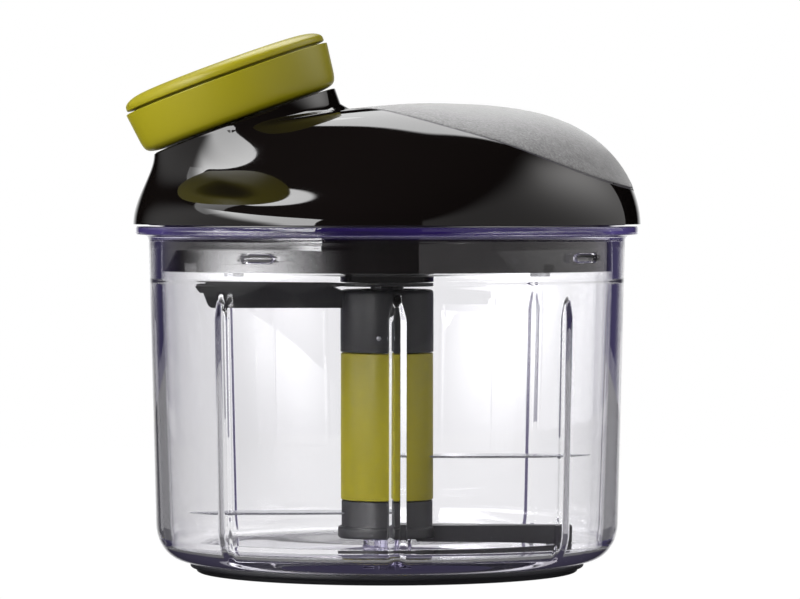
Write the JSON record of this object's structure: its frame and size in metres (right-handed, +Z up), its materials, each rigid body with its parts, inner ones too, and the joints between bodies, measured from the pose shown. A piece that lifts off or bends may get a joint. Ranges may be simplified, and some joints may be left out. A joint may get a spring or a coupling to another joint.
{
  "type": "pull cord food chopper",
  "caption": "Hand food chopper: a clear bowl with a blade spindle, under a domed lid whose pull handle, cord and spring-return spool turn the blades.",
  "frame": {"origin": "centre of the non-slip base's underside, on the blade spindle's axis", "axes": "+Z up along the spindle, +X towards the grip pad and away from the pull handle, -Y towards the viewer of the usual side view"},
  "size_m": [0.1558, 0.1536, 0.1628],
  "materials": {
    "clear_bowl": "clear moulded plastic with a faint violet tint, polished",
    "gloss_black": "high gloss moulded black plastic",
    "grip_black": "finely textured matte black soft grip",
    "base_rubber": "matte black non-slip rubber",
    "seal_rubber": "soft dark silicone",
    "hub_grey": "satin dark grey moulded plastic",
    "olive_green": "satin olive green moulded plastic",
    "steel": "ground stainless steel",
    "acetal": "natural white acetal",
    "cord_grey": "braided polyester cord"
  },
  "bodies": {
    "bowl": {"bowl": "clear_bowl", "non_slip_base": "base_rubber", "pivot_pin": "steel"},
    "spindle": {"blade_core": "acetal", "bottom_hub": "hub_grey", "blade_sleeve": "olive_green", "top_hub": "hub_grey", "cross_pin": "steel", "upper_blade": "steel", "lower_blade": "steel"},
    "lid": {"lid_shell": "gloss_black", "grip_pad": "grip_black", "lid_base": "gloss_black", "lid_seal": "seal_rubber", "spring_case": "acetal", "spring_cover": "acetal", "return_spring": "steel", "top_bush": "acetal", "lower_bush": "acetal", "cord_guide": "acetal", "cord_lead": "cord_grey", "lid_screw_1": "steel", "lid_screw_2": "steel", "lid_screw_3": "steel", "case_screw_1": "steel", "case_screw_2": "steel", "case_screw_3": "steel"},
    "spool": {"spool": "acetal", "cord_winding": "cord_grey", "spool_shaft": "steel", "drive_dog": "hub_grey"},
    "handle": {"handle_body": "olive_green", "handle_cap": "olive_green", "cord_knot": "cord_grey"}
  },
  "joints": [
    {"name": "lid_twist", "type": "hinge", "parent": "bowl", "child": "lid", "pos_m": [0, 0, 0.0953], "axis": [0, 0, 1], "range_deg": [0, 18]},
    {"name": "handle_pull", "type": "slide", "parent": "lid", "child": "handle", "axis": [-0.342, 0, 0.9397], "range_m": [0, 0.5], "stiffness_N_per_m": 15, "springref_m": -0.2},
    {"name": "spool_spin", "type": "hinge", "parent": "lid", "child": "spool", "pos_m": [0, 0, 0.11], "axis": [0, 0, 1], "range_deg": [-1600, 0]},
    {"name": "spindle_spin", "type": "hinge", "parent": "bowl", "child": "spindle", "pos_m": [0, 0, 0.04], "axis": [0, 0, 1], "range_deg": [-1600, 0]}
  ],
  "couplings": [
    {"joint": "spool_spin", "follows": "handle_pull", "rad_per_m": -55.556},
    {"joint": "spindle_spin", "follows": "handle_pull", "rad_per_m": -55.556}
  ]
}
